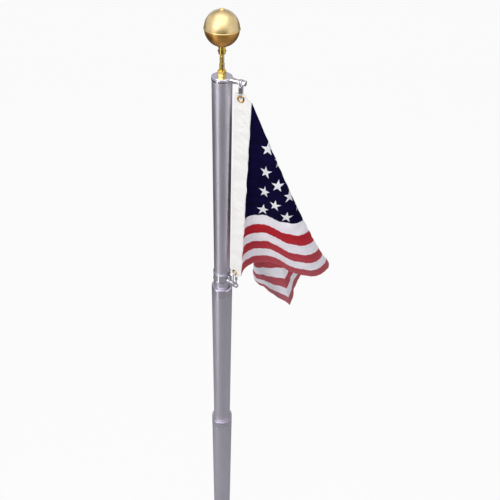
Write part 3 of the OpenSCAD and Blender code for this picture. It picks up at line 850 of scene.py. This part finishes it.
def fold_rays():
    ray = unit(flag_foot - flag_corner)
    rays = [ray]
    for i in range(int(90 / FOLD_STEP)):
        turn = math.radians(lookup((i + 0.5) * FOLD_STEP, FOLD_TURNS))
        side = unit(np.cross([0, 1, 0], -ray))
        back = np.cross(-ray, side)
        ray = unit(ray + (side * math.cos(turn) + back * math.sin(turn)) * math.radians(FOLD_STEP))
        rays.append(ray)
    return np.array(rays)


RAYS = fold_rays()


def drape(angle, reach):
    """Point of the hung cloth, from its angle and distance round the corner in the flat cloth."""
    i = np.clip(angle / FOLD_STEP, 0, len(RAYS) - 1.0001)
    first = i.astype(int)
    part = (i - first)[..., None]
    ray = unit(RAYS[first] * (1 - part) + RAYS[first + 1] * part)
    drop = reach * np.cos(np.radians(angle))
    ease = np.minimum(1, angle / SLACK_ANGLE)
    hung = np.interp(drop, [0, canton_h, flag_hoist], [0, CANTON_SHARE * flag_edge, flag_edge])
    share = np.where(drop > 1e-9, hung / np.maximum(drop, 1e-9), 1)
    length = reach * (ease + (1 - ease) * share)
    curl = np.radians(np.maximum(lookup(angle, CURLS), 0.001))
    back = unit(np.array([0, 1.0, 0]) - ray * ray[..., 1:2])
    bend = curl * np.maximum(length - CURL_START, 0)
    along = np.where(bend > 0, CURL_START + np.sin(bend) / curl, length)
    lift = (1 - np.cos(bend)) / curl
    return flag_corner + ray * along[..., None] + back * lift[..., None]


def hang(s, t):
    """Point of the hung cloth at s along the fly and t down the hoist."""
    return drape(np.degrees(np.arctan2(s, t)), np.hypot(s, t))


def hang_normal(s, t):
    reach = np.hypot(s, t)
    near = 6 * MM
    grow = np.where(reach < near, near / np.maximum(reach, 1e-6), 1)
    s, t = np.maximum(s, 1e-5) * grow, np.maximum(t, 1e-5) * grow
    angle, reach = np.degrees(np.arctan2(s, t)), np.hypot(s, t)
    low, high = np.clip(angle - 0.5, 0, 90), np.clip(angle + 0.5, 0, 90)
    across = drape(high, reach) - drape(low, reach)
    out = drape(angle, reach + 0.5 * MM) - drape(angle, reach - 0.5 * MM)
    return unit(np.cross(across, out))


cloth_folds = [(47 * MM, 0.6, 0.35 * MM, 0.3), (29 * MM, -0.8, 0.22 * MM, 1.1),
               (73 * MM, 1.3, 0.5 * MM, 4.1)]


def pucker(s, t):
    """Small gathers that the seams' stitches pull in the cloth, and a few soft wrinkles."""
    line = np.abs((t / stripe_h + 0.5) % 1 - 0.5) * stripe_h
    gather = 0.28 * MM * np.sin(2 * math.pi * s / (17 * MM) + 2 * np.floor(t / stripe_h + 0.5))
    gather = gather * np.exp(-(line / (7 * MM)) ** 2) * np.clip(s / (20 * MM), 0, 1)
    settle = np.clip(np.hypot(s, t) / (150 * MM), 0, 1)
    return (gather + ripple(s, t, cloth_folds)) * settle


def cloth_half(s, t):
    """Half the cloth's thickness: one layer, more at the hems, less by the top corner."""
    half = 0.2 * MM + 0.18 * MM * np.clip((s - (flag_fly - 14 * MM)) / (0.8 * MM), 0, 1)
    edge = np.minimum(t, flag_hoist - t)
    half = half + 0.14 * MM * np.clip((6 * MM - edge) / (0.8 * MM), 0, 1)
    return np.minimum(half, 0.05 * MM + np.hypot(s, t) / 600)


def surface(s, t, lift=0.0):
    """Point of the cloth with its small gathers, lifted off its middle layer."""
    return hang(s, t) + hang_normal(s, t) * (pucker(s, t) + lift)[..., None]


def cut_grid(s0, s1, t0, t1, spacing=4.5 * MM, ray_step=0.25):
    """Flat places over a rectangle, laid out along the rays so that the folds stay smooth."""
    start, end = math.atan2(s0, t1), math.atan2(s1, t0)
    corners = [start, end, math.atan2(s0, max(t0, 1e-9)), math.atan2(s1, t1)]
    inside = np.radians(np.arange(0, 90.01, ray_step))
    angles = [a for a in inside
              if start + 1e-3 < a < end - 1e-3 and min(abs(a - c) for c in corners) > 6e-4]
    angles = np.unique(np.round(np.array(angles + corners), 9))
    cos, sin = np.maximum(np.cos(angles), 1e-9), np.maximum(np.sin(angles), 1e-9)
    near = np.maximum(np.maximum(t0 / cos, s0 / sin), 2 * MM)
    near = np.where(angles < 1e-6, np.maximum(t0, 2 * MM), near)
    far = np.maximum(np.minimum(t1 / cos, s1 / sin), near)
    rows = int(math.ceil((far - near).max() / spacing)) + 1
    part = np.linspace(0, 1, rows)[None, :]
    reach = near[:, None] + (far - near)[:, None] * part
    return reach * np.sin(angles)[:, None], reach * np.cos(angles)[:, None]


def cloth_sheet(s0, s1, t0, t1):
    s, t = cut_grid(s0, s1, t0, t1)
    return slab(surface(s, t), hang_normal(s, t), cloth_half(s, t), np.stack([s, t], 2))


def stripe_sheet(n):
    start = canton_w + seam_gap / 2 if n < 7 else 0
    low = 0 if n == 0 else n * stripe_h + seam_gap / 2
    high = flag_hoist if n == 12 else (n + 1) * stripe_h - seam_gap / 2
    return cloth_sheet(start, flag_fly, low, high)


canton_sheet = cloth_sheet(0, canton_w - seam_gap / 2, 0, canton_h - seam_gap / 2)
canton_cloth = cloth_piece("flag_canton_cloth", [canton_sheet], navy, ["flag_canton"])
red_cloth = cloth_piece("flag_red_cloth", [stripe_sheet(n) for n in range(0, 13, 2)], red,
                        ["flag_red_stripes"])
white_cloth = cloth_piece("flag_white_cloth", [stripe_sheet(n) for n in range(1, 13, 2)], white,
                          ["flag_white_stripes"])

# ---- seams, stars and stitches


def seam_strip(s0, s1, t0, t1, thick=0.22 * MM):
    """Folded seam: a narrow strip a little proud of both faces of the cloth."""
    along = max(abs(s1 - s0), abs(t1 - t0))
    count = int(along / (4 * MM)) + 2
    a = np.linspace(0, 1, count)[:, None]
    b = np.linspace(-1, 1, 5)[None, :]
    wide = 1.6 * MM
    if abs(s1 - s0) > abs(t1 - t0):
        s, t = s0 + (s1 - s0) * a + 0 * b, t0 + 0 * a + b * wide
    else:
        s, t = s0 + 0 * a + b * wide, t0 + (t1 - t0) * a + 0 * b
    half = (cloth_half(s, t) + thick) * (1 - 0.75 * b ** 4)
    return slab(surface(s, t), hang_normal(s, t), half, np.stack([s, t], 2))


LOZENGE = ((0, 0), (0.5, 1), (1, 0), (0.5, -1))


def stitch_shapes(s, t, surface_at, low, top, foot):
    """Stitches on both faces: each a lozenge with a crown over it and a point sunk in the cloth.

    surface_at places flat points at a height off the middle layer. Low, top and foot are the
    heights of the rim, the crown and the sunk point."""
    crown_s, crown_t = s.mean(1, keepdims=True), t.mean(1, keepdims=True)
    flat = np.stack([np.concatenate([s, crown_s, crown_s], 1),
                     np.concatenate([t, crown_t, crown_t], 1)], 2).reshape(-1, 2)
    shapes = []
    for side in (1, -1):
        layers = [surface_at(s, t, side * low), surface_at(crown_s, crown_t, side * top),
                  surface_at(crown_s, crown_t, side * foot)]
        faces = []
        for start in range(0, 6 * len(s), 6):
            for k in range(4):
                here, on = start + k, start + (k + 1) % 4
                pair = [here, on, start + 4], [on, here, start + 5]
                faces += pair if side > 0 else [face[::-1] for face in pair]
        shapes.append((np.concatenate(layers, 1).reshape(-1, 3), faces, flat))
    return shapes


def stitch_row(s0, s1, t0, t1, length=2.6 * MM, gap=1.0 * MM, wide=0.42 * MM, proud=0.28 * MM):
    """Row of stitches in the hung cloth."""
    total = math.hypot(s1 - s0, t1 - t0)
    pitch = length + gap
    du, dv = (s1 - s0) / total, (t1 - t0) / total
    start = np.arange(int(total / pitch)) * pitch + gap
    s = np.stack([s0 + (start + length * e) * du - w * wide * dv for e, w in LOZENGE], 1)
    t = np.stack([t0 + (start + length * e) * dv + w * wide * du for e, w in LOZENGE], 1)
    half = cloth_half(s.mean(1, keepdims=True), t.mean(1, keepdims=True))
    return stitch_shapes(s, t, surface, cloth_half(s, t) * 0.6, half + proud, half * 0.3)


def stripe_seam(n):
    """Seam over stripe n, in that stripe's colour."""
    start = canton_w if n < 7 else 2 * MM
    return seam_strip(start, flag_fly - 0.5 * MM, n * stripe_h, n * stripe_h)


cloth_piece("red_seams", [stripe_seam(n) for n in range(2, 13, 2)], red)
cloth_piece("white_seams", [stripe_seam(n) for n in range(1, 13, 2)], white)
cloth_piece("canton_seam", [seam_strip(canton_w, canton_w, 3 * MM, canton_h)], navy)

stitches = []
beside_seam = (-0.9 * MM, 0.9 * MM)
for n in range(1, 13):
    row_start = canton_w + 2 * MM if n < 7 else 3 * MM
    for side in beside_seam:
        stitches += stitch_row(row_start, flag_fly - 2 * MM, n * stripe_h + side, n * stripe_h + side)
for inset in (2.5 * MM, 6 * MM, 9 * MM, 12.5 * MM):
    stitches += stitch_row(flag_fly - inset, flag_fly - inset, 2 * MM, flag_hoist - 2 * MM)
for row in (4.5 * MM, flag_hoist - 4.5 * MM):
    stitches += stitch_row(20 * MM, flag_fly - 2 * MM, row, row)
for side in beside_seam:
    stitches += stitch_row(canton_w + side, canton_w + side, 4 * MM, canton_h)
cloth_piece("flag_stitches", stitches, thread_white)


star_r, star_lift, star_sunk = 18.5 * MM, 0.22 * MM, -0.1 * MM
star_first, star_pitch = (15 * MM, 12 * MM), (37.5 * MM, 31 * MM)
star_inner_share = 0.382


def star_shape(centre_s, centre_t, side):
    """Five-pointed star on one face: fine triangles that follow the cloth, with a sewn edge."""
    cuts = 7
    corners = []
    for k in range(11):
        turn, r = math.pi * k / 5, star_r if k % 2 == 0 else star_r * star_inner_share
        corners.append(np.array([math.sin(turn) * r, -math.cos(turn) * r]))
    rim = np.array([a + (b - a) * j / cuts for a, b in zip(corners, corners[1:]) for j in range(cuts)])
    n = len(rim)
    levels = [(1.0, star_sunk), (0.985, star_lift), (0.9, star_lift * 1.25)]
    levels += [(size, star_lift) for size in (0.82, 0.6, 0.4, 0.2)]
    places = np.concatenate([rim * size for size, lift in levels] + [np.zeros((2, 2))])
    places = places + [centre_s, centre_t]
    lifts = np.concatenate([np.full(n, lift) for size, lift in levels] + [[star_sunk, star_lift]])
    s, t = places[:, 0], places[:, 1]
    points = surface(s, t) + hang_normal(s, t) * (side * (cloth_half(s, t) + lifts))[:, None]
    points, faces = skin(points[:-2].reshape(len(levels), n, 3), points[-2:])
    return points, faces if side > 0 else [face[::-1] for face in faces], places


stars = [star_shape(star_first[0] + star_pitch[0] * column, star_first[1] + star_pitch[1] * row, side)
         for row in range(1, 10) for column in range(1, 12) if (row + column) % 2 == 0
         for side in (1, -1)]
cloth_piece("canton_stars", stars, star_white)


def canvas_surface(s, t, lift):
    """Point of the wrinkled heading, lifted off its middle layer."""
    share = t / heading_length
    rise = ripple(s, t, heading_folds) + lift
    return heading_at(s, share) + heading_normal(s, share) * rise[..., None]


def heading_stitches(length=3.2 * MM, gap=1.2 * MM, wide=0.5 * MM, proud=0.35 * MM):
    """Rows of stitches down the heading."""
    face = heading_t / 2 - 0.3 * MM
    shapes = []
    for row in heading_rows:
        first = 6 * MM if row > heading_outer_w - heading_corner else 8 * MM
        start = np.arange(first, heading_length - first, length + gap)
        s = np.stack([row + w * wide + 0 * start for e, w in LOZENGE], 1)
        t = np.stack([start + e * length for e, w in LOZENGE], 1)
        shapes += stitch_shapes(s, t, canvas_surface, face - 0.2 * MM, face + proud, face - 0.5 * MM)
    return shapes


cloth_piece("heading_stitches", heading_stitches(), thread_white)

# ---- floor, light and camera


SHOWN_STRENGTH = 0.92


def studio_panel(name, corners):
    """Flat panel of the studio, and the nodes of its own material."""
    mesh = bpy.data.meshes.new(name)
    mesh.from_pydata(corners, [], [[0, 1, 2, 3]])
    panel = bpy.data.objects.new(name, mesh)
    scene.collection.objects.link(panel)
    m = Nodes(name)
    mesh.materials.append(m.material)
    return panel, m


def floor():
    """Pale floor: white where the camera or a reflection sees it, with the shadow kept."""
    half = 40
    corners = [(-half, -half, 0), (half, -half, 0), (half, half, 0), (-half, half, 0)]
    ground, m = studio_panel("floor", corners)
    ground.location.z = -1 * MM
    m.set({"Base Color": (0.85, 0.85, 0.86, 1), "Roughness": 0.9})
    glow = m.node("ShaderNodeEmission", Strength=1.0)
    path = m.node("ShaderNodeLightPath")
    seen = m.math("ADD", m.math("ADD", path.outputs["Is Camera Ray"], path.outputs["Is Glossy Ray"]),
                  path.outputs["Is Transmission Ray"])
    share = m.math("MULTIPLY", m.math("MINIMUM", seen, 1), SHOWN_STRENGTH)
    mix = m.node("ShaderNodeMixShader")
    m.link(share, mix.inputs[0])
    m.link(m.shader.outputs[0], mix.inputs[1])
    m.link(glow.outputs[0], mix.inputs[2])
    m.link(mix.outputs[0], m.tree.nodes["Material Output"].inputs["Surface"])


def card(name, middle, wide, tall, bearing, tilt, shade):
    """Dark card that only reflections see: it gives bright metal its dark edges."""
    w, h = wide / 2, tall / 2
    panel, m = studio_panel(name, [(-w, 0, -h), (w, 0, -h), (w, 0, h), (-w, 0, h)])
    panel.location = middle
    panel.rotation_euler = (math.radians(tilt), 0, math.radians(bearing))
    m.set({"Base Color": (*shade, 1)})
    panel.visible_camera = False
    panel.visible_diffuse = False
    panel.visible_shadow = False
    panel.visible_transmission = False


def lamp(name, place, aim, size, power, tall=None):
    """Area lamp aimed at a point; the camera doesn't see it."""
    data = bpy.data.lights.new(name, "AREA")
    data.shape = "RECTANGLE"
    data.size, data.size_y = size, tall or size
    data.energy = power
    light = bpy.data.objects.new(name, data)
    scene.collection.objects.link(light)
    light.location = place
    light.rotation_euler = (Vector(aim) - Vector(place)).to_track_quat("-Z", "Y").to_euler()
    light.visible_camera = False


def world():
    """Even light from all round, which the camera and reflections see as white."""
    scene.world = bpy.data.worlds.new("studio")
    scene.world.use_nodes = True
    tree = scene.world.node_tree
    background = tree.nodes["Background"]
    background.inputs["Color"].default_value = (0.97, 0.98, 1.0, 1)
    path = tree.nodes.new("ShaderNodeLightPath")
    total = path.outputs["Is Camera Ray"]
    for ray in ("Is Glossy Ray", "Is Transmission Ray"):
        add = tree.nodes.new("ShaderNodeMath")
        add.operation = "MAXIMUM"
        tree.links.new(total, add.inputs[0])
        tree.links.new(path.outputs[ray], add.inputs[1])
        total = add.outputs[0]
    strength = tree.nodes.new("ShaderNodeMapRange")
    strength.inputs["To Min"].default_value = 0.5
    strength.inputs["To Max"].default_value = SHOWN_STRENGTH
    tree.links.new(total, strength.inputs["Value"])
    tree.links.new(strength.outputs["Result"], background.inputs["Strength"])


def camera():
    """Camera close in front of the pole, above the cap, looking down at it."""
    eye_back, eye_above_cap = 1.1059, 0.5048
    pitch, yaw, roll = math.radians(40.96), math.radians(4.075), math.radians(2.674)
    ahead = Vector((math.sin(yaw) * math.cos(pitch), math.cos(yaw) * math.cos(pitch), -math.sin(pitch)))
    level = Vector((math.cos(yaw), -math.sin(yaw), 0))
    up = level.cross(ahead)
    right = level * math.cos(roll) + up * math.sin(roll)
    top = up * math.cos(roll) - level * math.sin(roll)
    data = bpy.data.cameras.new("camera")
    data.sensor_width = 36
    data.lens = 37.509
    data.shift_y = -0.04
    eye = bpy.data.objects.new("camera", data)
    scene.collection.objects.link(eye)
    matrix = Matrix((right, top, -ahead)).transposed().to_4x4()
    matrix.translation = (0, -eye_back, cap_top + eye_above_cap)
    eye.matrix_world = matrix
    scene.camera = eye


floor()
world()
lamp("key", (-2.2, -2.6, cap_top + 1.6), (0, 0, cap_top - 0.4), 2.2, 42)
lamp("top", (-0.2, -0.9, cap_top + 2.4), (0, 0, cap_top), 3.4, 56)
lamp("fill", (2.8, -2.2, cap_top - 0.2), (0.1, 0, cap_top - 0.6), 2.0, 8)
lamp("strip", (-1.5, -1.25, 1.6), (0, 0, 1.7), 0.35, 7, tall=3.2)
card("ground_card", (0, 0, 0.02), 14, 14, 0, 90, (0.45, 0.45, 0.45))
card("front_card", (0, -5, 2.0), 8, 3.4, 0, 0, (0.24, 0.23, 0.22))
card("back_card", (0, 1.6, 1.6), 5, 3.2, 0, 0, (0.08, 0.08, 0.08))
card("upper_back_card", (0, 1.6, 4.25), 3, 0.8, 0, 0, (0.05, 0.05, 0.05))
card("left_card", (-1.3, 0.3, cap_top - 1.1), 1.4, 1.4, 80, 0, (0.08, 0.08, 0.08))
camera()

scene.view_settings.view_transform = "Standard"
